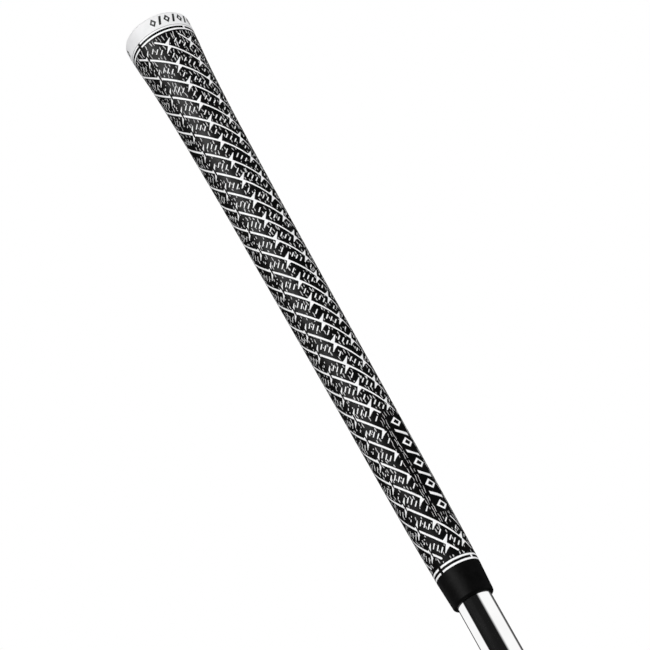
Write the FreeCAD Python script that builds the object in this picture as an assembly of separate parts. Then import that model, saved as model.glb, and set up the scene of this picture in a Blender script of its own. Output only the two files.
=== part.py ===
import FreeCAD, Part
import math
import os

# Corded rubber golf grip, fitted to the butt of a stepped steel club shaft.
# +Z points up the shaft towards the butt cap. The origin is the centre of the
# shaft's lower, cut end. "Distance" below is measured down from the butt.

# ---- driving dimensions, millimetres -------------------------------------
GRIP_LENGTH = 270.0
STUB_LENGTH = 45.0
TOP = GRIP_LENGTH + STUB_LENGTH

# Outside diameter of the hand part, at distances from the butt.
BODY_STATIONS = [
    (10.0, 26.90),
    (20.0, 25.30),
    (30.0, 24.15),
    (50.8, 22.65),
    (80.0, 21.30),
    (120.0, 20.20),
    (180.0, 18.90),
    (240.0, 17.85),
    (258.3, 17.05),
]
MOUTH_DIAMETER = 15.75
MOUTH_EDGE_RADIUS = 1.0

# End cap.
CROWN_FLAT_RADIUS = 9.0
CROWN_BEND_RADIUS = 18.0
CROWN_SLOPE = math.radians(11.5)
CAP_EDGE_RADIUS = 1.5
CAP_SIDE_SLOPE = math.radians(88.0)
CAP_TOP_THICKNESS = 4.8
CAP_SKIRT = 7.3
SPIGOT_RADIUS = 10.4
SPIGOT_END = 16.0
VENT_RADIUS = 1.0

# Cord panels, core and mouth collar.
PANEL_THICKNESS = 1.1
PANEL_END = 258.3
TONGUE_START = 246.0

# Shaft tube, thinned by equal steps; the last one is at the mouth of the grip.
SHAFT_BUTT_DIAMETER = 15.24
SHAFT_WALL = 0.6
STEP_COUNT = 6
STEP_DROP = 0.36
FIRST_STEP = 60.0
LAST_STEP = GRIP_LENGTH

# Double-sided grip tape.
TAPE_THICKNESS = 0.18
TAPE_END = 262.0
TAPE_TUCK = 10.0

# Painted rings and marks, sunk flush into the rubber.
INLAY_DEPTH = 0.3
RING_WIDTH = 0.8
RING_PITCH = 1.72
RING_LIP = 0.1  # rubber left between the cap and the first ring
BUTT_RING_START = CAP_SKIRT + RING_LIP
MOUTH_RING_START = 255.4
RING_SEAM_GAP = 1.1
RING_BRIDGE = 1.0
MARK_COUNT = 9
PANEL_MARKS_CENTRE = 217.0
PANEL_MARK_PITCH = 4.5
PANEL_MARK_SIZE = (4.3, 5.3)
PANEL_MARKS_TURN = math.radians(-3.5)  # round the axis, from the panel's middle
CAP_MARKS_CENTRE = 4.0
CAP_MARK_PITCH = math.radians(12.5)
CAP_MARK_SIZE = (2.8, 4.0)
PANEL_FRAME_STROKE = 0.8
CAP_FRAME_STROKE = 0.72
MARK_BAR_SHARE = 0.25
REACH = 40.0

# ---- worked-out sizes ------------------------------------------------------
SHAFT_BUTT = CAP_TOP_THICKNESS + TAPE_THICKNESS
STEP_SPACING = (LAST_STEP - FIRST_STEP) / (STEP_COUNT - 1)
FRONT = -1
BACK = 1


def point(radius, distance):
    """A point of a half section: radius from the axis, distance from the butt."""
    return FreeCAD.Vector(radius, 0, TOP - distance)


def line(start, end):
    return Part.LineSegment(point(*start), point(*end)).toShape()


def bend(start, radius, slope, end_slope):
    """An arc that starts at a (radius, distance) point and turns from one slope to another.
    Slope is the angle below the horizontal. Returns the edge and the arc's end point."""

    def at(angle):
        across = start[0] + radius * (math.sin(angle) - math.sin(slope))
        along = start[1] + radius * (math.cos(slope) - math.cos(angle))
        return across, along

    end = at(end_slope)
    middle = at((slope + end_slope) / 2)
    return Part.Arc(point(*start), point(*middle), point(*end)).toShape(), end


def turned(edges):
    """A solid of revolution about Z from the closed chain of section edges."""
    face = Part.Face(Part.Wire(edges))
    return face.revolve(FreeCAD.Vector(0, 0, 0), FreeCAD.Vector(0, 0, 1), 360)


def turned_outline(points):
    """A solid of revolution from straight runs between (radius, distance) points."""
    ends = points[1:] + points[:1]
    return turned([line(a, b) for a, b in zip(points, ends)])


def disc(radius, start, end):
    """A plain cylinder between two distances from the butt."""
    return Part.makeCylinder(radius, end - start, FreeCAD.Vector(0, 0, TOP - end))


def grip_solid(inset=0.0):
    """The whole grip as if it were solid, or the same form shrunk inwards by inset."""
    flat_end = (CROWN_FLAT_RADIUS, 0.0)
    crown, shoulder = bend(flat_end, CROWN_BEND_RADIUS, 0.0, CROWN_SLOPE)
    edge, side = bend(shoulder, CAP_EDGE_RADIUS, CROWN_SLOPE, CAP_SIDE_SLOPE)
    if inset:
        side = (side[0] - inset, side[1])
    stations = [side] + [(width / 2 - inset, distance) for distance, width in BODY_STATIONS]
    side_curve = Part.BSplineCurve()
    side_curve.interpolate([point(*station) for station in stations])
    end_of_body = stations[-1]
    corner = (MOUTH_DIAMETER / 2 - inset, GRIP_LENGTH)
    collar_slope = math.atan2(corner[1] - end_of_body[1], corner[0] - end_of_body[0])
    setback = MOUTH_EDGE_RADIUS * math.tan((math.pi - collar_slope) / 2)
    lip_top = (
        corner[0] - setback * math.cos(collar_slope),
        corner[1] - setback * math.sin(collar_slope),
    )
    lip, lip_end = bend(lip_top, MOUTH_EDGE_RADIUS, collar_slope, math.pi)
    edges = [side_curve.toShape(), line(end_of_body, lip_top), lip]
    if inset:
        start = (0.0, side[1])
        edges.append(line(start, side))
    else:
        start = (0.0, 0.0)
        edges.extend([line(start, flat_end), crown, edge])
    foot = (0.0, lip_end[1])
    edges.extend([line(lip_end, foot), line(foot, start)])
    return turned(Part.sortEdges(edges)[0])


def shaft_outline(offset, start, end):
    """The stepped outside of the shaft between two distances, grown outwards by offset.
    Growing it moves each step down as well, so a layer keeps its thickness over a step."""
    radius = SHAFT_BUTT_DIAMETER / 2 + offset
    points = [(0.0, start), (radius, start)]
    for step in range(STEP_COUNT):
        distance = FIRST_STEP + step * STEP_SPACING + offset
        if distance >= end:
            break
        points.append((radius, distance))
        radius -= STEP_DROP / 2
        points.append((radius, distance))
    points.extend([(radius, end), (0.0, end)])
    return turned_outline(points)


def grip_tape(tape_solid, shaft):
    """Sleeve over the shaft, folded over its butt rim and tucked into its bore."""
    tuck_end = SHAFT_BUTT + TAPE_TUCK
    opening_radius = SHAFT_BUTT_DIAMETER / 2 - SHAFT_WALL - TAPE_THICKNESS
    opening = disc(opening_radius, CAP_TOP_THICKNESS, tuck_end)
    below_tuck = shaft_outline(-SHAFT_WALL, tuck_end, TAPE_END)
    return tape_solid.cut(shaft).cut(opening).cut(below_tuck)


def end_cap(grip, tape_solid):
    """White cap: crown with a vent hole, a short skirt, and a spigot round the shaft."""
    head = grip.common(disc(REACH, 0.0, CAP_SKIRT))
    spigot = disc(SPIGOT_RADIUS, CAP_SKIRT, SPIGOT_END)
    vent = disc(VENT_RADIUS, 0.0, CAP_TOP_THICKNESS)
    return head.fuse(spigot).removeSplitter().cut(tape_solid).cut(vent)


def inner_sleeve(core, tape_solid):
    """Plain rubber between the tape and the cord panels."""
    sleeve = core.common(disc(REACH, CAP_SKIRT, TONGUE_START))
    return sleeve.cut(disc(SPIGOT_RADIUS, CAP_SKIRT, SPIGOT_END)).cut(tape_solid)


def mouth_collar(grip, core, tape_solid, shaft_solid):
    """Plain rubber lip, with a tongue that runs up under the cord panels."""
    lip = grip.common(disc(REACH, PANEL_END, GRIP_LENGTH))
    tongue = core.common(disc(REACH, TONGUE_START, PANEL_END))
    collar = lip.fuse(tongue).removeSplitter()
    return collar.cut(tape_solid).cut(shaft_solid)


def half_space(side):
    """A large block that holds everything on one side of the parting plane."""
    corner_y = 0.0 if side == BACK else -REACH
    return Part.makeBox(2 * REACH, REACH, TOP, FreeCAD.Vector(-REACH, corner_y, 0))


def cord_panel(grip, core, side, inlays):
    shell = grip.common(disc(REACH, CAP_SKIRT, PANEL_END)).cut(core)
    panel = shell.common(half_space(side))
    for inlay in inlays:
        panel = panel.cut(inlay)
    return panel


def ring_pair(skin, start, side):
    """Two white lines round one panel, stopped short of its seams and bridged midway."""
    first = skin.common(disc(REACH, start, start + RING_WIDTH))
    second_start = start + RING_PITCH
    second = skin.common(disc(REACH, second_start, second_start + RING_WIDTH))
    tie_height = RING_PITCH + RING_WIDTH
    tie_corner = FreeCAD.Vector(-RING_BRIDGE / 2, -REACH, TOP - start - tie_height)
    tie = skin.common(Part.makeBox(RING_BRIDGE, 2 * REACH, tie_height, tie_corner))
    seam_corner = FreeCAD.Vector(-REACH, -RING_SEAM_GAP / 2, 0)
    seam = Part.makeBox(2 * REACH, RING_SEAM_GAP, TOP, seam_corner)
    pair = first.fuse(second).fuse(tie).common(half_space(side))
    return pair.cut(seam).removeSplitter()


def outline_face(corners):
    """A flat face in the XZ plane from (x, z) corners."""
    closed = [FreeCAD.Vector(x, 0, z) for x, z in corners + corners[:1]]
    return Part.Face(Part.makePolygon(closed))


def lozenge(width, height, stroke):
    """A four-cornered frame with an open middle."""
    half_width = width / 2
    half_height = height / 2
    outer = [(-half_width, 0), (0, -half_height), (half_width, 0), (0, half_height)]
    shrink = 1 - stroke * math.hypot(half_width, half_height) / (half_width * half_height)
    inner = [(x * shrink, z * shrink) for x, z in outer]
    return outline_face(outer).cut(outline_face(inner))


def slash(width, height):
    """One leaning bar."""
    lean = width / 4
    half = MARK_BAR_SHARE * height / 2
    corners = [
        (-lean - half, -height / 2),
        (-lean + half, -height / 2),
        (lean + half, height / 2),
        (lean - half, height / 2),
    ]
    return outline_face(corners)


def mark_face(index, width, height, stroke):
    """Lozenges and leaning bars take turns along a row of marks."""
    return slash(width, height) if index % 2 else lozenge(width, height, stroke)


def mark_prism(face, side):
    """Carries a flat mark out from the axis through the wall of one side."""
    return face.extrude(FreeCAD.Vector(0, side * REACH, 0))


def panel_marks(skin, side):
    """A row of marks down a panel's plain name area, a little to one side of its middle."""
    size_along, size_across = PANEL_MARK_SIZE
    marks = []
    for index in range(MARK_COUNT):
        place = PANEL_MARKS_CENTRE + (index - (MARK_COUNT - 1) / 2) * PANEL_MARK_PITCH
        face = mark_face(index, size_along, size_across, PANEL_FRAME_STROKE)
        face.rotate(FreeCAD.Vector(0, 0, 0), FreeCAD.Vector(0, 1, 0), 90)
        face.translate(FreeCAD.Vector(0, 0, TOP - place))
        prism = mark_prism(face, side)
        prism.rotate(FreeCAD.Vector(0, 0, 0), FreeCAD.Vector(0, 0, 1), math.degrees(PANEL_MARKS_TURN))
        marks.append(skin.common(prism))
    return Part.makeCompound(marks)


def cap_marks(skin, side):
    """A row of marks round the skirt of the cap, centred on one panel."""
    width, height = CAP_MARK_SIZE
    marks = []
    for index in range(MARK_COUNT):
        turn = (index - (MARK_COUNT - 1) / 2) * CAP_MARK_PITCH
        face = mark_face(index, width, height, CAP_FRAME_STROKE)
        face.translate(FreeCAD.Vector(0, 0, TOP - CAP_MARKS_CENTRE))
        prism = mark_prism(face, side)
        prism.rotate(FreeCAD.Vector(0, 0, 0), FreeCAD.Vector(0, 0, 1), math.degrees(turn))
        marks.append(skin.common(prism))
    return Part.makeCompound(marks)


def build():
    grip = grip_solid()
    core = grip_solid(PANEL_THICKNESS)
    skin = grip.cut(grip_solid(INLAY_DEPTH))
    shaft_solid = shaft_outline(0.0, SHAFT_BUTT, TOP)
    tape_solid = shaft_outline(TAPE_THICKNESS, CAP_TOP_THICKNESS, TAPE_END)

    shaft = shaft_solid.cut(shaft_outline(-SHAFT_WALL, SHAFT_BUTT, TOP))

    parts = {
        "shaft_tube": shaft,
        "grip_tape": grip_tape(tape_solid, shaft),
        "inner_sleeve": inner_sleeve(core, tape_solid),
        "mouth_collar": mouth_collar(grip, core, tape_solid, shaft_solid),
    }
    cap = end_cap(grip, tape_solid)
    for name, side in (("front", FRONT), ("back", BACK)):
        butt_ring = ring_pair(skin, BUTT_RING_START, side)
        mouth_ring = ring_pair(skin, MOUTH_RING_START, side)
        row = panel_marks(skin, side)
        cap_row = cap_marks(skin, side)
        cap = cap.cut(cap_row)
        parts[name + "_butt_ring"] = butt_ring
        parts[name + "_mouth_ring"] = mouth_ring
        parts[name + "_panel_marks"] = row
        parts[name + "_cap_marks"] = cap_row
        parts[name + "_cord_panel"] = cord_panel(grip, core, side, [butt_ring, mouth_ring, row])
    parts["end_cap"] = cap
    return parts


def main():
    os.makedirs("parts", exist_ok=True)
    for name, shape in build().items():
        shape.exportStep("parts/" + name + ".step")
        solids = len(shape.Solids)
        print(name, "solids", solids, "volume", round(shape.Volume, 1), "valid", shape.isValid())


main()
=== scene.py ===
import math
import random

import bmesh
import bpy
from mathutils import Matrix, Vector
from mathutils.geometry import delaunay_2d_cdt


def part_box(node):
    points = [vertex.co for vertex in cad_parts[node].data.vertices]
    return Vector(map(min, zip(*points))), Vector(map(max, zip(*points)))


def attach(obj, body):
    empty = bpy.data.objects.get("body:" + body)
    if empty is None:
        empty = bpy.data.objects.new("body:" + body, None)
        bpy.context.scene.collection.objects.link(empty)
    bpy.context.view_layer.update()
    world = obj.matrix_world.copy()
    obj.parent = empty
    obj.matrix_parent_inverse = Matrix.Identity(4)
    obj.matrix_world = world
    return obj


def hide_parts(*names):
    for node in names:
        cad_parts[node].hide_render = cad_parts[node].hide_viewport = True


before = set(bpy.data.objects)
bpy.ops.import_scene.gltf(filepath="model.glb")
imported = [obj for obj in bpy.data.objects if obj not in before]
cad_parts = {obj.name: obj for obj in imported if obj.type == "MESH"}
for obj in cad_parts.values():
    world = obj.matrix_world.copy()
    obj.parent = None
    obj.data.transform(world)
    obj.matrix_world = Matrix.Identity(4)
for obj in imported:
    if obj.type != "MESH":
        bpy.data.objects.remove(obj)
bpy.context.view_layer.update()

# Lengths are in millimetres and turned to metres when a mesh is made. "Distance" runs down the
# grip from its butt, and "turn" is the angle round it in degrees from one parting line to the
# other, 0 to 180 over a panel. The drawing plane is unrolled at PLANE_RADIUS.
MM = 0.001
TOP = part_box("end_cap")[1].z / MM
PLANE_RADIUS = 10.0

# ---- outline of the hand part: outside diameter at distances from the butt -----------------
BODY_STATIONS = [
    (1.8, 27.55),
    (10.0, 26.90),
    (20.0, 25.30),
    (30.0, 24.15),
    (50.8, 22.65),
    (80.0, 21.30),
    (120.0, 20.20),
    (180.0, 18.90),
    (240.0, 17.85),
    (258.3, 17.05),
]
PANEL_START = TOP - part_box("front_cord_panel")[1].z / MM
PANEL_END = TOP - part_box("front_cord_panel")[0].z / MM
PANEL_THICKNESS = 1.1

# ---- tread pattern ------------------------------------------------------------------------
ROW_START = 15.95
ROW_PITCH = 9.73
ROW_COUNT = 25
ROW_BOW = 0.5
COLUMN_TURN = 45.0
COLUMNS = 4
LINE_WIDTH = 0.75
LINE_FIRST = 12.0
LINE_LAST = 253.4
LINE_STEPS = 8  # to a column
LINE_AHEAD = 0.01  # in columns, for a line's direction
SHORTEST_LINE = 0.08  # in columns
FIRST_MARGIN = 2.6  # degrees of plain rubber beside the first parting line, and the last
LAST_MARGIN = 0.5
MARGIN_OVERRUN = 1.0
STAR_TIP = (1.8, -2.95)
STAR_TIP_WIDTH = 0.42
STAR_BASE_LONG = 1.75
STAR_BASE_SHORT = 0.2
STAR_WAIST_LONG = 0.41
STAR_WAIST_SHORT = 0.47
STROKE_SPAN = (1.2, -1.3)
STROKE_WIDTH = 0.52
STROKE_COLUMNS = (0.0, 0.355, 0.495, 0.64)
STROKE_ROOM = (1.5, 1.0)  # from the first and the last end of the lines
NAME_PANEL = (46.4, 133.6, 193.9, 240.0)  # lowest and highest turn, then distance
PATTERN_POCKET = 0.4  # depths of the pockets, and of the paint's face in them
PATTERN_DROP = 0.1
INLAY_POCKET = 0.3
INLAY_DROP = 0.05
GRID_STEP = 1.4
BORDER_STEP = 1.2
BACK_GRID = (8, 40)
WELD = 0.002  # points closer than this become one
NEAR = 1e-4
SHARP_EDGE = 35.0

# ---- cotton cord that shows at the surface between the lines ---------------------------------
THREADS = 27
THREAD_FIRST = 10.3
THREAD_LAST = 255.1
THREAD_START_SPREAD = 0.6
THREAD_WANDER = 0.18  # of the space between threads
THREAD_WAVES = ((0.25, 38.0), (0.1, 4.6), (0.04, 2.1))  # reach and wavelength
WAVELENGTH_SPREAD = (0.8, 1.25)
FIBRE_STEP = 0.3
FIBRE_WIDTH = 0.4
FIBRE_RISE = 0.03
FIBRE_SINK = 0.06
FIBRE_SECTION = [(-0.5, -1.0), (-0.36, 0.6), (0.0, 1.0), (0.36, 0.6), (0.5, -1.0)]
FIBRE_END = 0.35  # fullness of a fibre's tip
FIBRE_TAPER = 0.6
FIBRE_SHARP_EDGE = 60.0
SHORTEST_FIBRE = 0.55
CELL = 0.13
FIBRE_CLEARANCE = 0.2
# Lowest and highest fibre and gap. The fibres are longer near the butt, where they show fully,
# and the gaps are longer beyond it and in the last rows.
FIBRE = (1.0, 2.3)
FIBRE_EXTRA = (0.2, 1.6)
GAP = (0.8, 1.7)
GAP_EXTRA = (0.3, 2.1)
LAST_GAP_EXTRA = (0.8, 2.4)
NAME_PANEL_FIBRE = (1.4, 4.4)
NAME_PANEL_GAP = (0.4, 1.3)
NAME_PANEL_WIDTH = 0.6  # shares of a fibre's full width
WIDTH_SPREAD = (0.7, 1.2)
WIDTH_EXTRA = 0.1
BUTT_ZONE = (12.0, 50.0)  # its start and its length
LAST_ROWS = 241.0
PLAIN_CORNER = (7.5, 13.6)  # the furthest turn and distance of the bare corner by the cap
QUIET_BAND = (42.0, 53.0)  # bare degrees each side of the name panel's middle

# ---- rings, and marks that stand in for lettering ------------------------------------------
RING_WIDTH = 0.8
RING_PITCH = 1.72
RING_LIP = 0.1
BUTT_RING_START = PANEL_START + RING_LIP
MOUTH_RING_START = 255.4
RING_SEAM_GAP = 0.55
RING_BRIDGE = 1.0
MARK_COUNT = 9
PANEL_FRAME_STROKE = 0.8
MARK_BAR_SHARE = 0.25
PANEL_MARKS_CENTRE = 217.0
PANEL_MARKS_TURN = 86.5
PANEL_MARK_PITCH = 4.5
PANEL_MARK_SIZE = (4.3, 5.3)
MARK_CLEARANCE = 0.5

# ---- materials: grains to a patch of tone and of gloss, and the painted shade in the shaft's corner ---
TONE_PATCH = 12
GLOSS_PATCH = 4
# Painted shade: a thin band of the shaft's step under the collar is coloured near black, as the
# shadowed crevice.
PAINTED_SHADE_DEPTH = 0.05
PAINTED_SHADE_TONE = (0.003, 0.003, 0.003, 1.0)

# ---- camera -------------------------------------------------------------------------------
LENS = 129.05
CAMERA_AZIMUTH = math.radians(-54.0)
CAMERA_ELEVATION = math.radians(-25.7)
CAMERA_ROLL = math.radians(29.36)
CAMERA_DISTANCE = 0.864
AIM_HEIGHT = 0.1663
AIM_ACROSS = 0.0018

# ---- studio -------------------------------------------------------------------------------
FLOOR_SIZE = 30.0
FLOOR_HEIGHT = -0.9
BACKDROP = (1.0, 1.0, 1.0, 1.0)
FILL = (0.56, 0.56, 0.57, 1.0)
CEILING = (0.02, 0.02, 0.02, 1.0)
# What mirrors see, as (degrees to the right of the camera's direction, brightness).
BANDS = [
    (-73, 1.0),
    (-69, 0.01),
    (32, 0.01),
    (46, 1.0),
    (122, 1.0),
    (132, 0.1),
    (-146, 0.02),
    (-142, 1.0),
]
# How much of the bands is left at each height, from straight down at 0 to straight up at 1.
STOREYS = [(0.0, 1.0), (0.662, 1.0), (0.676, 0.0), (0.88, 0.0), (0.9, 1.0)]
# Name, degrees to the right of the camera's azimuth, elevation, size, power, and whether the light
# is there for gloss only or for everything but gloss.
LIGHTS = [
    ("key_light", -15, -10, 0.9, 7.2, False),
    ("right_light", 68, 0, 0.8, 3.5, False),
    ("sheen_light", -33, 38, 0.7, 150.0, True),
]
LIGHT_DISTANCE = 1.2


def radius_at(distance):
    """Outside radius of the hand part, smooth through the stations."""
    stations = BODY_STATIONS
    if distance <= stations[0][0]:
        return stations[0][1] / 2
    if distance >= stations[-1][0]:
        return stations[-1][1] / 2
    last = len(stations) - 1
    slopes = [
        (stations[i + 1][1] - stations[i][1]) / (stations[i + 1][0] - stations[i][0])
        for i in range(last)
    ]
    i = next(k for k in range(last) if distance <= stations[k + 1][0])
    start, end = stations[i], stations[i + 1]
    span = end[0] - start[0]
    before = (slopes[max(i - 1, 0)] + slopes[i]) / 2
    after = (slopes[i] + slopes[min(i + 1, last - 1)]) / 2
    t = (distance - start[0]) / span
    width = (
        start[1] * (2 * t**3 - 3 * t**2 + 1)
        + before * span * (t**3 - 2 * t**2 + t)
        + end[1] * (3 * t**2 - 2 * t**3)
        + after * span * (t**3 - t**2)
    )
    return width / 2


# ---- drawing plane ------------------------------------------------------------------------
def to_plane(turn, distance):
    """The point of the drawing plane at a turn and a distance."""
    return Vector((math.radians(turn) * PLANE_RADIUS, distance))


def offset(point, across, down):
    """A plane point moved by real millimetres on the grip's surface."""
    stretch = PLANE_RADIUS / radius_at(point.y)
    return Vector((point.x + across * stretch, point.y + down))


def bar(start, end, width, steps=3):
    """A round-ended bar between two plane points, width in real millimetres."""
    stretch = PLANE_RADIUS / radius_at((start.y + end.y) / 2)
    run = Vector(((end.x - start.x) / stretch, end.y - start.y))
    along = math.atan2(run.y, run.x)
    corners = []
    for centre, heading in ((start, along + math.pi), (end, along)):
        for k in range(steps + 1):
            angle = heading - math.pi / 2 + math.pi * k / steps
            corners.append(offset(centre, width / 2 * math.cos(angle), width / 2 * math.sin(angle)))
    return corners


def row_bow(row):
    """Midway down, the rows sit a little nearer to the butt than even steps would put them."""
    return ROW_BOW * math.sin(math.pi * row / (ROW_COUNT - 1))


def row_distance(row):
    """How far from the butt a row of crossings lies."""
    return ROW_START + ROW_PITCH * row - row_bow(row)


def row_at(distance):
    """The row count, with its fraction, at a distance from the butt."""
    even = (distance - ROW_START) / ROW_PITCH
    return even + row_bow(even) / ROW_PITCH


def line_point(start_row, column_place):
    """A point of the spiral line that leaves the first parting line at start_row."""
    return to_plane(column_place * COLUMN_TURN, row_distance(start_row + column_place))


def spiral_line(start_row, first, last):
    """A round-ended strip along a spiral line between two places counted in columns."""
    count = max(2, int((last - first) * LINE_STEPS))
    places = [first + (last - first) * k / count for k in range(count + 1)]
    left, right = [], []
    for place in places:
        here = line_point(start_row, place)
        ahead = line_point(start_row, place + LINE_AHEAD)
        stretch = PLANE_RADIUS / radius_at(here.y)
        run = Vector(((ahead.x - here.x) / stretch, ahead.y - here.y)).normalized()
        left.append(offset(here, run.y * LINE_WIDTH / 2, -run.x * LINE_WIDTH / 2))
        right.append(offset(here, -run.y * LINE_WIDTH / 2, run.x * LINE_WIDTH / 2))
    nose = offset(line_point(start_row, last), run.x * LINE_WIDTH / 2, run.y * LINE_WIDTH / 2)
    tail = offset(line_point(start_row, first), -run.x * LINE_WIDTH / 2, -run.y * LINE_WIDTH / 2)
    return [tail] + left + [nose] + right[::-1]


def spiral_spans(start_row):
    """The stretches of one spiral line that are drawn: not past the ends, nor in the name panel."""
    first = max(FIRST_MARGIN / COLUMN_TURN, row_at(LINE_FIRST) - start_row)
    last = min(COLUMNS - LAST_MARGIN / COLUMN_TURN, row_at(LINE_LAST) - start_row)
    low_turn, high_turn, low, high = NAME_PANEL
    hidden_first = max(low_turn / COLUMN_TURN, row_at(low) - start_row)
    hidden_last = min(high_turn / COLUMN_TURN, row_at(high) - start_row)
    spans = [(first, last)]
    if hidden_first < hidden_last:
        spans = [(first, min(last, hidden_first)), (max(first, hidden_last), last)]
    return [span for span in spans if span[1] - span[0] > SHORTEST_LINE]


def quadratic(start, control, end, steps):
    """Points of a bend from start to end that is drawn towards control."""
    points = []
    for k in range(steps + 1):
        t = k / steps
        points.append(start * (1 - t) ** 2 + control * (2 * t * (1 - t)) + end * t**2)
    return points


def star_arm(centre, sign):
    """One tapered arm of a crossing. sign 1 is the arm that points back towards the butt."""
    stretch = PLANE_RADIUS / radius_at(centre.y)
    step = to_plane(COLUMN_TURN, 0).x / stretch
    along = Vector((step, ROW_PITCH)).normalized()
    tip = Vector(STAR_TIP)
    side = Vector((-tip.y, tip.x)).normalized() * STAR_TIP_WIDTH / 2
    long_base = along * -STAR_BASE_LONG
    short_base = along * STAR_BASE_SHORT
    first = quadratic(long_base, (long_base + tip) * STAR_WAIST_LONG, tip - side, 4)
    second = quadratic(tip + side, (tip + short_base) * STAR_WAIST_SHORT, short_base, 3)
    nose = [tip + tip.normalized() * STAR_TIP_WIDTH / 2]
    return [offset(centre, sign * p.x, sign * p.y) for p in first + nose + second]


def in_name_rows(distance):
    """Whether a distance is level with the name panel."""
    return NAME_PANEL[2] < distance < NAME_PANEL[3]


def star_signs(column, distance):
    """Which arms a crossing has. Beside the name panel only the arm that faces away is drawn."""
    if not in_name_rows(distance):
        return (1, -1)
    return {1: (-1,), 2: (), 3: (1,)}.get(column, (1, -1))


def spiral_polygons():
    """Every spiral line, and the crossings on the columns."""
    polygons = []
    for start_row in range(-COLUMNS, ROW_COUNT):
        for first, last in spiral_spans(start_row):
            polygons.append(spiral_line(start_row, first, last))
    for column in range(COLUMNS + 1):
        for row in range(ROW_COUNT):
            centre = to_plane(column * COLUMN_TURN, row_distance(row))
            for sign in star_signs(column, centre.y):
                polygons.append(star_arm(centre, sign))
    return polygons


def in_name_panel(turn, distance):
    """Whether a place is in the plain panel with the row of marks."""
    low_turn, high_turn, low, high = NAME_PANEL
    return low_turn < turn < high_turn and low < distance < high


def stroke_polygons():
    """Short leaning strokes along the middle of each band between two spiral lines."""
    polygons = []
    half = Vector(STROKE_SPAN) / 2
    first, last = LINE_FIRST + STROKE_ROOM[0], LINE_LAST - STROKE_ROOM[1]
    places = [column + share for column in range(COLUMNS) for share in STROKE_COLUMNS]
    for place in places + [COLUMNS]:
        share = place % 1
        for row in range(-1, ROW_COUNT):
            turn = place * COLUMN_TURN
            distance = row_distance(row + 0.5 + share)
            if not first < distance < last or in_name_panel(turn, distance):
                continue
            middle = to_plane(turn, distance)
            start, end = offset(middle, -half.x, -half.y), offset(middle, half.x, half.y)
            polygons.append(bar(start, end, STROKE_WIDTH))
    return polygons


def rectangle(low_x, high_x, low_y, high_y, step=BORDER_STEP):
    """Corners of a rectangle in the plane, with points along its sides."""
    across = max(1, round((high_x - low_x) / step))
    down = max(1, round((high_y - low_y) / step))
    xs = [low_x + (high_x - low_x) * k / across for k in range(across)]
    ys = [low_y + (high_y - low_y) * k / down for k in range(down)]
    corners = [Vector((x, low_y)) for x in xs]
    corners += [Vector((high_x, y)) for y in ys]
    corners += [Vector((high_x + low_x - x, high_y)) for x in xs]
    corners += [Vector((low_x, high_y + low_y - y)) for y in ys]
    return corners


def ring_polygons(start):
    """Two lines round the panel with a bridge between them at its middle."""
    width = to_plane(180, 0).x
    gap = RING_SEAM_GAP * PLANE_RADIUS / radius_at(start)
    half_bridge = RING_BRIDGE / 2 * PLANE_RADIUS / radius_at(start)
    bands = [
        rectangle(gap, width - gap, first, first + RING_WIDTH)
        for first in (start, start + RING_PITCH)
    ]
    middle = width / 2
    overlap = RING_WIDTH / 2
    low, high = start + overlap, start + RING_PITCH + overlap
    return bands + [rectangle(middle - half_bridge, middle + half_bridge, low, high)]


def lozenge(width, height, scale=1.0):
    """A four-cornered outline, or the same one shrunk."""
    half = Vector((width / 2, height / 2)) * scale
    return [Vector((-half.x, 0)), Vector((0, -half.y)), Vector((half.x, 0)), Vector((0, half.y))]


def lozenge_opening(width, height):
    """How much smaller the opening of a lozenge frame is than its outside."""
    return 1 - PANEL_FRAME_STROKE * math.hypot(width, height) / (width * height) * 2


def slash(width, height):
    """The outline of one leaning bar."""
    lean = width / 4
    half = MARK_BAR_SHARE * height / 2
    top, foot = height / 2, -height / 2
    return [
        Vector((-lean - half, foot)),
        Vector((-lean + half, foot)),
        Vector((lean + half, top)),
        Vector((lean - half, top)),
    ]


def placed(shape, centre):
    """A mark's outline at its place, turned to read along the grip."""
    return [offset(centre, corner.y, corner.x) for corner in shape]


def panel_mark_polygons():
    """A row of lozenge frames and leaning bars. Returns painted shapes and openings."""
    painted, openings = [], []
    width, height = PANEL_MARK_SIZE
    for index in range(MARK_COUNT):
        place = PANEL_MARKS_CENTRE + (index - (MARK_COUNT - 1) / 2) * PANEL_MARK_PITCH
        centre = to_plane(PANEL_MARKS_TURN, place)
        if index % 2:
            painted.append(placed(slash(width, height), centre))
        else:
            painted.append(placed(lozenge(width, height), centre))
            opening = lozenge(width, height, lozenge_opening(width, height))
            openings.append(placed(opening, centre))
    return painted, openings


def inner_grid(corners, across, down):
    """The points of an even grid inside a rectangle, without its border."""
    low_x, high_x, low_y, high_y = corners
    return [
        Vector((low_x + (high_x - low_x) * i / across, low_y + (high_y - low_y) * j / down))
        for i in range(1, across)
        for j in range(1, down)
    ]


def signed_area(polygon):
    """Area of a polygon, negative where its corners run the other way round."""
    area = 0.0
    for a, b in zip(polygon, polygon[1:] + polygon[:1]):
        area += a.x * b.y - b.x * a.y
    return area / 2


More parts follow.
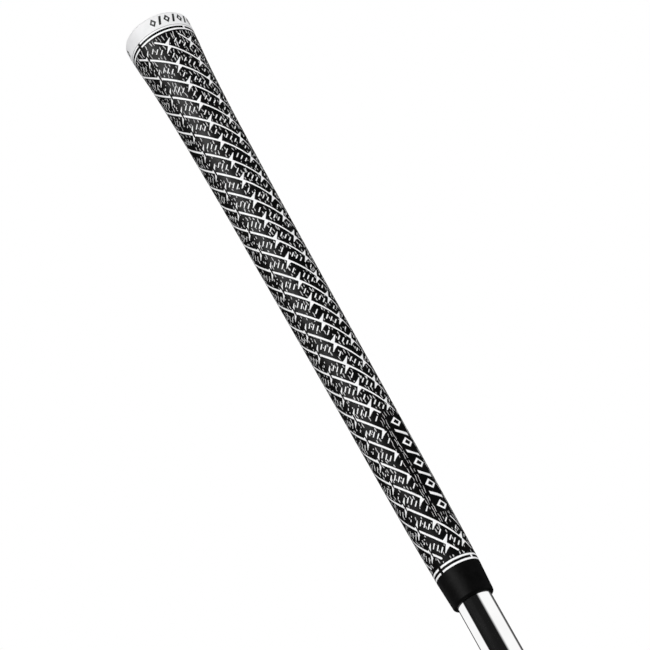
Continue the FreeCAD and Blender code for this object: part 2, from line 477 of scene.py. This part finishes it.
class Sheet:
    """A flat triangulated sheet in which every triangle knows which drawn shape it is in."""

    def __init__(self, low_x, high_x, low_y, high_y, step):
        self.corners = (low_x, high_x, low_y, high_y)
        self.points = []
        self.faces = []
        self.kinds = []
        self.add("sheet", rectangle(low_x, high_x, low_y, high_y, step))
        across = round((high_x - low_x) / step)
        down = round((high_y - low_y) / step)
        self.points.extend(inner_grid(self.corners, across, down))

    def add(self, kind, polygon):
        """Draws one shape on the sheet."""
        if signed_area(polygon) < 0:
            polygon = polygon[::-1]
        start = len(self.points)
        self.points.extend(polygon)
        self.faces.append(list(range(start, start + len(polygon))))
        self.kinds.append(kind)

    def cut(self, order):
        """Triangles of the sheet. Where shapes overlap, the kind that comes first in order wins."""
        points, _, triangles, _, _, sources = delaunay_2d_cdt(
            self.points, [], self.faces, 0, WELD, True
        )
        self.flat = points
        self.triangles = []
        for triangle, source in zip(triangles, sources):
            found = {self.kinds[k] for k in source}
            if "sheet" not in found:
                continue
            kind = next((k for k in order if k in found), "land")
            self.triangles.append((tuple(triangle), kind))


def wrap(flat, sink, base_turn):
    """A plane point on the grip's surface, sunk below it by some millimetres."""
    radius = radius_at(flat.y) - sink
    turn = flat.x / PLANE_RADIUS + base_turn
    height = TOP - flat.y
    return Vector((radius * math.cos(turn), radius * math.sin(turn), height)) * MM


def mesh_object(name, bm, material, sharp=SHARP_EDGE):
    """A new object from a bmesh, shaded smooth apart from edges sharper than an angle."""
    bmesh.ops.recalc_face_normals(bm, faces=bm.faces)
    mesh = bpy.data.meshes.new(name)
    bm.to_mesh(mesh)
    bm.free()
    mesh.shade_smooth()
    mesh.set_sharp_from_angle(angle=math.radians(sharp))
    mesh.materials.append(material)
    piece = bpy.data.objects.new(name, mesh)
    bpy.context.scene.collection.objects.link(piece)
    return piece


def walls_down(bm, flat_of, sink, base_turn):
    """Walls down from an open patch's border. Returns the point below each border point."""
    border = [edge for edge in bm.edges if len(edge.link_faces) == 1]
    below = {}
    for edge in border:
        for vert in edge.verts:
            if vert not in below:
                below[vert] = bm.verts.new(wrap(flat_of[vert], sink, base_turn))
    for edge in border:
        a, b = edge.verts
        bm.faces.new((a, b, below[b], below[a]))
    return below


def carved_mesh(sheet, pockets, thickness, base_turn):
    """A closed shell with each kind in pockets sunk into its outer face by its own depth."""
    bm = bmesh.new()
    flat_of = {}
    made = {}

    def vert(index, depth):
        if (index, depth) not in made:
            new = bm.verts.new(wrap(sheet.flat[index], depth, base_turn))
            flat_of[new] = sheet.flat[index]
            made[index, depth] = new
        return made[index, depth]

    edges = {}
    for triangle, kind in sheet.triangles:
        depth = pockets.get(kind, 0.0)
        bm.faces.new([vert(i, depth) for i in triangle])
        for a, b in zip(triangle, triangle[1:] + triangle[:1]):
            edges.setdefault(frozenset((a, b)), set()).add(depth)
    for edge, levels in edges.items():
        if len(levels) == 2:
            a, b = edge
            top, foot = levels
            bm.faces.new((vert(a, top), vert(b, top), vert(b, foot), vert(a, foot)))
    add_back(bm, sheet, thickness, base_turn, flat_of)
    return bm


def add_back(bm, sheet, thickness, base_turn, flat_of):
    """The shell's inner face and its four edge walls."""
    below = walls_down(bm, flat_of, thickness, base_turn)
    border = list(below)
    points = [flat_of[vert].copy() for vert in border]
    outline = sorted(range(len(border)), key=lambda k: border_order(points[k], sheet.corners))
    points += inner_grid(sheet.corners, *BACK_GRID)
    flat, _, faces, sources, _, _ = delaunay_2d_cdt(points, [], [outline], 1, 1e-6, True)
    verts = []
    for point, source in zip(flat, sources):
        old = [index for index in source if index < len(border)]
        if old:
            verts.append(below[border[old[0]]])
        else:
            verts.append(bm.verts.new(wrap(point, thickness, base_turn)))
    for face in faces:
        bm.faces.new([verts[i] for i in reversed(face)])


def border_order(point, corners):
    """How far round the rectangle's border a point lies, counted from its first corner."""
    low_x, high_x, low_y, high_y = corners
    width, height = high_x - low_x, high_y - low_y
    if point.y - low_y < NEAR:
        return point.x - low_x
    if high_x - point.x < NEAR:
        return width + point.y - low_y
    if high_y - point.y < NEAR:
        return width + height + high_x - point.x
    return 2 * width + height + high_y - point.y


def filled_mesh(sheet, kind, top, bottom, base_turn):
    """Closed fills for every shape of one kind. Top and bottom are depths below the surface."""
    bm = bmesh.new()
    made = {}
    flat_of = {}
    for triangle, found in sheet.triangles:
        if found != kind:
            continue
        for index in triangle:
            if index not in made:
                made[index] = bm.verts.new(wrap(sheet.flat[index], top, base_turn))
                flat_of[made[index]] = sheet.flat[index]
        bm.faces.new([made[i] for i in triangle])
    below = walls_down(bm, flat_of, bottom, base_turn)
    for triangle, found in sheet.triangles:
        if found != kind:
            continue
        foot = []
        for index in reversed(triangle):
            vert = made[index]
            if vert not in below:
                below[vert] = bm.verts.new(wrap(sheet.flat[index], bottom, base_turn))
            foot.append(below[vert])
        bm.faces.new(foot)
    return bm


# ---- cotton cord ----------------------------------------------------------------------------
def cell_of(point):
    """The small square of the drawing plane that a point is in."""
    return round(point.x / CELL), round(point.y / CELL)


def painted_cells(sheet, kinds):
    """Small squares of the drawing plane that the given kinds reach."""
    cells = set()
    for triangle, kind in sheet.triangles:
        if kind not in kinds:
            continue
        a, b, c = (sheet.flat[i] for i in triangle)
        steps = max(1, math.ceil(max((b - a).length, (c - a).length, (c - b).length) / CELL))
        for i in range(steps + 1):
            for j in range(steps + 1 - i):
                cells.add(cell_of(a + (b - a) * (i / steps) + (c - a) * (j / steps)))
    return cells


def thread_path(index):
    """How one lengthwise thread runs: its plane x at any distance, wandering and wavering."""
    wander = random.uniform(-THREAD_WANDER, THREAD_WANDER)
    middle = (index + 0.5 + wander) * to_plane(180, 0).x / THREADS
    waves = [
        (reach, length * random.uniform(*WAVELENGTH_SPREAD), random.uniform(0, 2 * math.pi))
        for reach, length in THREAD_WAVES
    ]

    def place(distance):
        sway = sum(r * math.sin(2 * math.pi * distance / n + phase) for r, n, phase in waves)
        return Vector((middle + sway, distance))

    return place


def fibre_rhythm(turn, distance):
    """Lengths of the next fibre and of the gap after it, and its width, by place on the grip."""
    if in_name_panel(turn, distance):
        fibre, gap = random.uniform(*NAME_PANEL_FIBRE), random.uniform(*NAME_PANEL_GAP)
        return fibre, gap, FIBRE_WIDTH * NAME_PANEL_WIDTH
    zone_start, zone_length = BUTT_ZONE
    beyond = min(1.0, max(0.0, (distance - zone_start) / zone_length))
    fibre = random.uniform(*FIBRE) + (1 - beyond) * random.uniform(*FIBRE_EXTRA)
    gap = random.uniform(*GAP) + beyond * random.uniform(*GAP_EXTRA)
    if distance > LAST_ROWS:
        gap += random.uniform(*LAST_GAP_EXTRA)
    slimmest, widest = WIDTH_SPREAD
    return fibre, gap, FIBRE_WIDTH * random.uniform(slimmest + WIDTH_EXTRA * beyond, widest)


def plain_here(point):
    """Bare rubber: along the parting lines, by the cap beside one, beside the name panel, and
    round its row of marks."""
    turn = math.degrees(point.x / PLANE_RADIUS)
    if turn < FIRST_MARGIN or turn > 180 - FIRST_MARGIN:
        return True
    if turn < PLAIN_CORNER[0] and point.y < PLAIN_CORNER[1]:
        return True
    if in_name_rows(point.y) and QUIET_BAND[0] < abs(turn - 90) < QUIET_BAND[1]:
        return True
    half_row = PANEL_MARK_PITCH * (MARK_COUNT - 1) / 2 + PANEL_MARK_SIZE[0] / 2 + MARK_CLEARANCE
    aside = abs(math.radians(turn - PANEL_MARKS_TURN)) * radius_at(point.y)
    in_row = abs(point.y - PANEL_MARKS_CENTRE) < half_row
    return in_row and aside < PANEL_MARK_SIZE[1] / 2 + MARK_CLEARANCE


def fibre_runs(cells):
    """Every visible stretch of cord in one panel, as (plane points, width)."""
    runs = []
    for index in range(THREADS):
        place = thread_path(index)
        distance = THREAD_FIRST + random.uniform(0.0, THREAD_START_SPREAD)
        while distance < THREAD_LAST:
            turn = math.degrees(place(distance).x / PLANE_RADIUS)
            length, gap, width = fibre_rhythm(turn, distance)
            end = min(distance + length, THREAD_LAST)
            count = max(2, round((end - distance) / FIBRE_STEP))
            points = [place(distance + (end - distance) * k / count) for k in range(count + 1)]
            runs.extend((run, width) for run in bare_stretches(points, cells))
            distance = end + gap
    return runs


def bare_stretches(points, cells):
    """Cuts a row of points where it meets paint or bare rubber, and drops what is too short."""
    stretches = [[]]
    for point in points:
        sides = (offset(point, across, 0.0) for across in (-FIBRE_CLEARANCE, 0.0, FIBRE_CLEARANCE))
        if plain_here(point) or any(cell_of(side) in cells for side in sides):
            stretches.append([])
        else:
            stretches[-1].append(point)
    return [s for s in stretches if len(s) > 1 and s[-1].y - s[0].y > SHORTEST_FIBRE]


def fibre_mesh(runs, base_turn):
    """Slim closed slivers, rounded on top and with a flat foot, that taper to both ends."""
    bm = bmesh.new()
    for points, width in runs:
        rings = []
        last = len(points) - 1
        for k, point in enumerate(points):
            along = (k + FIBRE_END) / (last + 2 * FIBRE_END)
            fullness = FIBRE_END + (1 - FIBRE_END) * math.sin(math.pi * along) ** FIBRE_TAPER
            ring = []
            for across, height in FIBRE_SECTION:
                sink = FIBRE_SINK if height < 0 else -FIBRE_RISE * height * fullness
                spot = offset(point, across * width * fullness, 0.0)
                ring.append(bm.verts.new(wrap(spot, sink, base_turn)))
            rings.append(ring)
        bm.faces.new(rings[0])
        bm.faces.new(rings[-1][::-1])
        for low, high in zip(rings, rings[1:]):
            for a in range(len(ring)):
                b = (a + 1) % len(ring)
                bm.faces.new((low[a], low[b], high[b], high[a]))
    return bm


# ---- materials ----------------------------------------------------------------------------
def new_material(name):
    """A new node material, with its nodes, its links and its shader."""
    material = bpy.data.materials.new(name)
    material.use_nodes = True
    nodes = material.node_tree.nodes
    return material, nodes, material.node_tree.links, nodes["Principled BSDF"]


def noise(nodes, links, scale, detail=4.0, stretch=(1, 1, 1)):
    """Noise in the grip's own space. Scale is in features to the metre."""
    place = nodes.new("ShaderNodeTexCoord")
    mapping = nodes.new("ShaderNodeMapping")
    mapping.inputs["Scale"].default_value = stretch
    texture = nodes.new("ShaderNodeTexNoise")
    texture.inputs["Scale"].default_value = scale
    texture.inputs["Detail"].default_value = detail
    links.new(place.outputs["Object"], mapping.inputs["Vector"])
    links.new(mapping.outputs["Vector"], texture.inputs["Vector"])
    return texture.outputs["Fac"]


def ramp(nodes, links, fac, stops):
    """A colour ramp on fac. Stops are (position, grey or rgb)."""
    made = nodes.new("ShaderNodeValToRGB")
    made.color_ramp.elements[0].position = stops[0][0]
    made.color_ramp.elements[1].position = stops[-1][0]
    for _ in stops[1:-1]:
        made.color_ramp.elements.new(0.5)
    for element, (position, colour) in zip(made.color_ramp.elements, stops):
        element.position = position
        rgb = (colour,) * 3 if isinstance(colour, (int, float)) else colour
        element.color = (*rgb, 1.0)
    links.new(fac, made.inputs["Fac"])
    return made.outputs["Color"]


def uneven(nodes, links, scale, detail, low, high, stretch=(1, 1, 1)):
    """A tone that wanders between low and high. Most of the noise lies from 0.3 to 0.7."""
    wander = noise(nodes, links, scale, detail, stretch)
    return ramp(nodes, links, wander, [(0.3, low), (0.7, high)])


def feed(links, socket, value):
    """Joins a socket to another node's output, or sets it to a plain value."""
    if isinstance(value, bpy.types.NodeSocket):
        links.new(value, socket)
    else:
        socket.default_value = value


def calculate(nodes, links, operation, *values):
    """A maths node on values that are plain or come from other nodes."""
    made = nodes.new("ShaderNodeMath")
    made.operation = operation
    for socket, value in zip(made.inputs, values):
        feed(links, socket, value)
    return made.outputs[0]


def mix(nodes, links, factor, first, second):
    """The first colour where the factor is 0, and the second where it is 1."""
    made = nodes.new("ShaderNodeMix")
    made.data_type = "RGBA"
    feed(links, made.inputs["Factor"], factor)
    feed(links, made.inputs["A"], first)
    feed(links, made.inputs["B"], second)
    return made.outputs["Result"]


def bump(nodes, links, height, shader, strength, distance):
    """Fine relief on a shader. Distance is its depth in metres."""
    made = nodes.new("ShaderNodeBump")
    made.inputs["Strength"].default_value = strength
    made.inputs["Distance"].default_value = distance
    links.new(height, made.inputs["Height"])
    links.new(made.outputs["Normal"], shader.inputs["Normal"])


def surface(name, dark, light, roughness, grain, specular, bump_depth):
    """A moulded or painted surface: two close tones, uneven gloss and a fine grain."""
    material, nodes, links, shader = new_material(name)
    shader.inputs["Specular IOR Level"].default_value = specular
    tone = uneven(nodes, links, grain / TONE_PATCH, 5.0, dark, light)
    links.new(tone, shader.inputs["Base Color"])
    gloss = uneven(nodes, links, grain / GLOSS_PATCH, 3.0, *roughness)
    links.new(gloss, shader.inputs["Roughness"])
    bump(nodes, links, noise(nodes, links, grain, 2.0), shader, 0.5, bump_depth)
    return material


def chrome():
    """Bright plate, with painted shade: near black only in the corner where the shaft's last step
    meets the rubber.
    """
    material, nodes, links, shader = new_material("chromed_steel")
    shader.inputs["Metallic"].default_value = 1.0
    place = nodes.new("ShaderNodeTexCoord")
    split = nodes.new("ShaderNodeSeparateXYZ")
    links.new(place.outputs["Object"], split.inputs["Vector"])
    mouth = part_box("mouth_collar")[0].z
    # Painted shade: the mask picks the step's face under the collar, and the mix colours it near
    # black.
    corner = calculate(nodes, links, "COMPARE", split.outputs["Z"], mouth, PAINTED_SHADE_DEPTH * MM)
    plate = uneven(nodes, links, 90.0, 4.0, 0.93, 0.98)
    links.new(mix(nodes, links, corner, plate, PAINTED_SHADE_TONE), shader.inputs["Base Color"])
    polish = uneven(nodes, links, 700.0, 3.0, 0.03, 0.045, (1, 1, 0.1))
    links.new(polish, shader.inputs["Roughness"])
    return material


# Name, dark and light tone, lowest and highest roughness, grain to the metre, specular level and
# the grain's depth in metres.
CORD_RUBBER = surface("cord_rubber", 0.0012, 0.004, (0.38, 0.5), 1600.0, 0.012, 0.0001)
COTTON = surface("cotton_cord", 0.36, 0.80, (0.85, 0.95), 6000.0, 0.04, 0.00004)
COLLAR_RUBBER = surface("collar_rubber", 0.0012, 0.003, (0.38, 0.48), 4000.0, 0.018, 0.00001)
CORE_RUBBER = surface("core_rubber", 0.014, 0.026, (0.6, 0.8), 2500.0, 0.3, 0.00003)
WHITE_RUBBER = surface("white_rubber", 0.81, 0.86, (0.5, 0.6), 4000.0, 0.025, 0.00001)
WHITE_PAINT = surface("white_paint", 0.86, 0.92, (0.5, 0.65), 4000.0, 0.08, 0.00002)
BLACK_PAINT = surface("black_paint", 0.010, 0.018, (0.35, 0.45), 4000.0, 0.14, 0.00001)
TAPE_DARK, TAPE_LIGHT = (0.62, 0.55, 0.38), (0.75, 0.69, 0.52)
TAPE = surface("adhesive_tape", TAPE_DARK, TAPE_LIGHT, (0.7, 0.9), 3000.0, 0.2, 0.00003)
CHROME = chrome()


# ---- cord panels ----------------------------------------------------------------------------
POCKETS = {
    "mark": INLAY_POCKET,
    "butt_ring": INLAY_POCKET,
    "mouth_ring": INLAY_POCKET,
    "spiral": PATTERN_POCKET,
    "stroke": PATTERN_POCKET,
}


def draw_panel():
    """One panel's drawing, the same for front and back."""
    width = to_plane(180, 0).x
    sheet = Sheet(0.0, width, PANEL_START, PANEL_END, GRID_STEP)
    painted, openings = panel_mark_polygons()
    drawing = {
        "opening": openings,
        "mark": painted,
        "butt_ring": ring_polygons(BUTT_RING_START),
        "mouth_ring": ring_polygons(MOUTH_RING_START),
        "spiral": spiral_polygons(),
        "stroke": stroke_polygons(),
    }
    low, high = LINE_FIRST - MARGIN_OVERRUN, LINE_LAST + MARGIN_OVERRUN
    drawing["plain"] = [
        rectangle(0.0, to_plane(FIRST_MARGIN, 0).x, low, high),
        rectangle(width - to_plane(LAST_MARGIN, 0).x, width, low, high),
    ]
    for kind, polygons in drawing.items():
        for polygon in polygons:
            sheet.add(kind, polygon)
    sheet.cut(["plain", "opening", *POCKETS])
    return sheet


def make_panel(side, base_turn, sheet):
    """One panel: the carved rubber, its cotton fibres and the paint in its pockets."""
    shell = carved_mesh(sheet, POCKETS, PANEL_THICKNESS, base_turn)
    panel = mesh_object(side + "_cord_panel_tread", shell, CORD_RUBBER)
    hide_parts(side + "_cord_panel")
    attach(panel, "root")
    runs = fibre_runs(painted_cells(sheet, set(POCKETS)))
    slivers = fibre_mesh(runs, base_turn)
    fibres = mesh_object(side + "_cord_fibres", slivers, COTTON, FIBRE_SHARP_EDGE)
    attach(fibres, "root")
    fills = {
        "spiral": ("_spiral_paint", None, PATTERN_DROP),
        "stroke": ("_stroke_paint", None, PATTERN_DROP),
        "butt_ring": ("_butt_ring_paint", "_butt_ring", INLAY_DROP),
        "mouth_ring": ("_mouth_ring_paint", "_mouth_ring", INLAY_DROP),
        "mark": ("_panel_marks_paint", "_panel_marks", INLAY_DROP),
    }
    for kind, (ending, node, drop) in fills.items():
        fill = filled_mesh(sheet, kind, drop, POCKETS[kind], base_turn)
        paint = mesh_object(side + ending, fill, WHITE_PAINT)
        if node:
            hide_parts(side + node)
        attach(paint, "root")


def finish_cad_nodes():
    """The materials of the CAD nodes that stay as they are."""
    finishes = {
        "shaft_tube": CHROME,
        "grip_tape": TAPE,
        "inner_sleeve": CORE_RUBBER,
        "mouth_collar": COLLAR_RUBBER,
        "end_cap": WHITE_RUBBER,
        "front_cap_marks": BLACK_PAINT,
        "back_cap_marks": BLACK_PAINT,
    }
    for node, material in finishes.items():
        for material_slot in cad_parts[node].material_slots:
            material_slot.material = material


# ---- stage, light and camera ------------------------------------------------------------------
def make_floor():
    """A plain floor below the view. The chrome mirrors the studio's bands and not the floor."""
    bm = bmesh.new()
    bmesh.ops.create_grid(bm, x_segments=8, y_segments=8, size=FLOOR_SIZE)
    bmesh.ops.translate(bm, verts=bm.verts, vec=(0, 0, FLOOR_HEIGHT))
    floor = mesh_object("floor", bm, surface("floor", 0.88, 0.92, (0.7, 0.8), 200.0, 0.2, 0.0002))
    floor.visible_glossy = False


def make_world():
    """White behind the object, and an even fill on it. Mirrors see a dark studio front between
    two white sides."""
    world = bpy.data.worlds.new("studio")
    bpy.context.scene.world = world
    world.use_nodes = True
    nodes, links = world.node_tree.nodes, world.node_tree.links
    background = nodes["Background"]
    background.inputs["Strength"].default_value = 1.0
    place = nodes.new("ShaderNodeTexCoord")
    split = nodes.new("ShaderNodeSeparateXYZ")
    links.new(place.outputs["Generated"], split.inputs["Vector"])
    around = calculate(nodes, links, "ARCTAN2", split.outputs["Y"], split.outputs["X"])
    share = calculate(nodes, links, "MULTIPLY_ADD", around, 1 / (2 * math.pi), 0.5)
    camera_turn = math.degrees(CAMERA_AZIMUTH) + 90.0  # from -X, where the ramp starts
    places = [((camera_turn + right) % 360.0 / 360.0, tone) for right, tone in BANDS]
    bands = ramp(nodes, links, share, sorted(places))
    height = calculate(nodes, links, "MULTIPLY_ADD", split.outputs["Z"], 0.5, 0.5)
    storeys = ramp(nodes, links, height, STOREYS)
    mirrored = mix(nodes, links, storeys, CEILING, bands)
    rays = nodes.new("ShaderNodeLightPath")
    lit = mix(nodes, links, rays.outputs["Is Glossy Ray"], FILL, mirrored)
    seen = mix(nodes, links, rays.outputs["Is Camera Ray"], lit, BACKDROP)
    links.new(seen, background.inputs["Color"])


def towards(azimuth, elevation):
    """The direction of a viewer or a light. Azimuth 0 is on the -Y side and grows towards +X."""
    level = math.cos(elevation)
    return Vector((math.sin(azimuth) * level, -math.cos(azimuth) * level, math.sin(elevation)))


def make_lights():
    """Soft square lights aimed at the middle of the grip."""
    for name, right, elevation, size, power, gloss_only in LIGHTS:
        data = bpy.data.lights.new(name, "AREA")
        data.size = size
        data.energy = power
        light = bpy.data.objects.new(name, data)
        bpy.context.scene.collection.objects.link(light)
        back = towards(CAMERA_AZIMUTH + math.radians(right), math.radians(elevation))
        light.location = Vector((0, 0, AIM_HEIGHT)) + back * LIGHT_DISTANCE
        light.rotation_euler = back.to_track_quat("Z", "Y").to_euler()
        light.visible_glossy = gloss_only
        light.visible_diffuse = not gloss_only


def make_camera():
    """A long lens that looks up at the grip, rolled so that it leans across the picture."""
    data = bpy.data.cameras.new("camera")
    data.sensor_width = 36.0
    data.lens = LENS
    camera = bpy.data.objects.new("camera", data)
    bpy.context.scene.collection.objects.link(camera)
    bpy.context.scene.camera = camera
    back = towards(CAMERA_AZIMUTH, CAMERA_ELEVATION)
    across = Vector((math.cos(CAMERA_AZIMUTH), math.sin(CAMERA_AZIMUTH), 0))
    up = back.cross(across)
    rolled = Matrix.Rotation(-CAMERA_ROLL, 3, back)
    basis = Matrix((rolled @ across, rolled @ up, back)).transposed()
    aim = Vector((0, 0, AIM_HEIGHT)) + across * AIM_ACROSS
    camera.matrix_world = Matrix.Translation(aim + back * CAMERA_DISTANCE) @ basis.to_4x4()


random.seed(7)
bpy.context.scene.view_settings.view_transform = "Standard"
panel_sheet = draw_panel()
make_panel("front", math.radians(-180), panel_sheet)
make_panel("back", 0.0, panel_sheet)
finish_cad_nodes()
make_floor()
make_world()
make_lights()
make_camera()
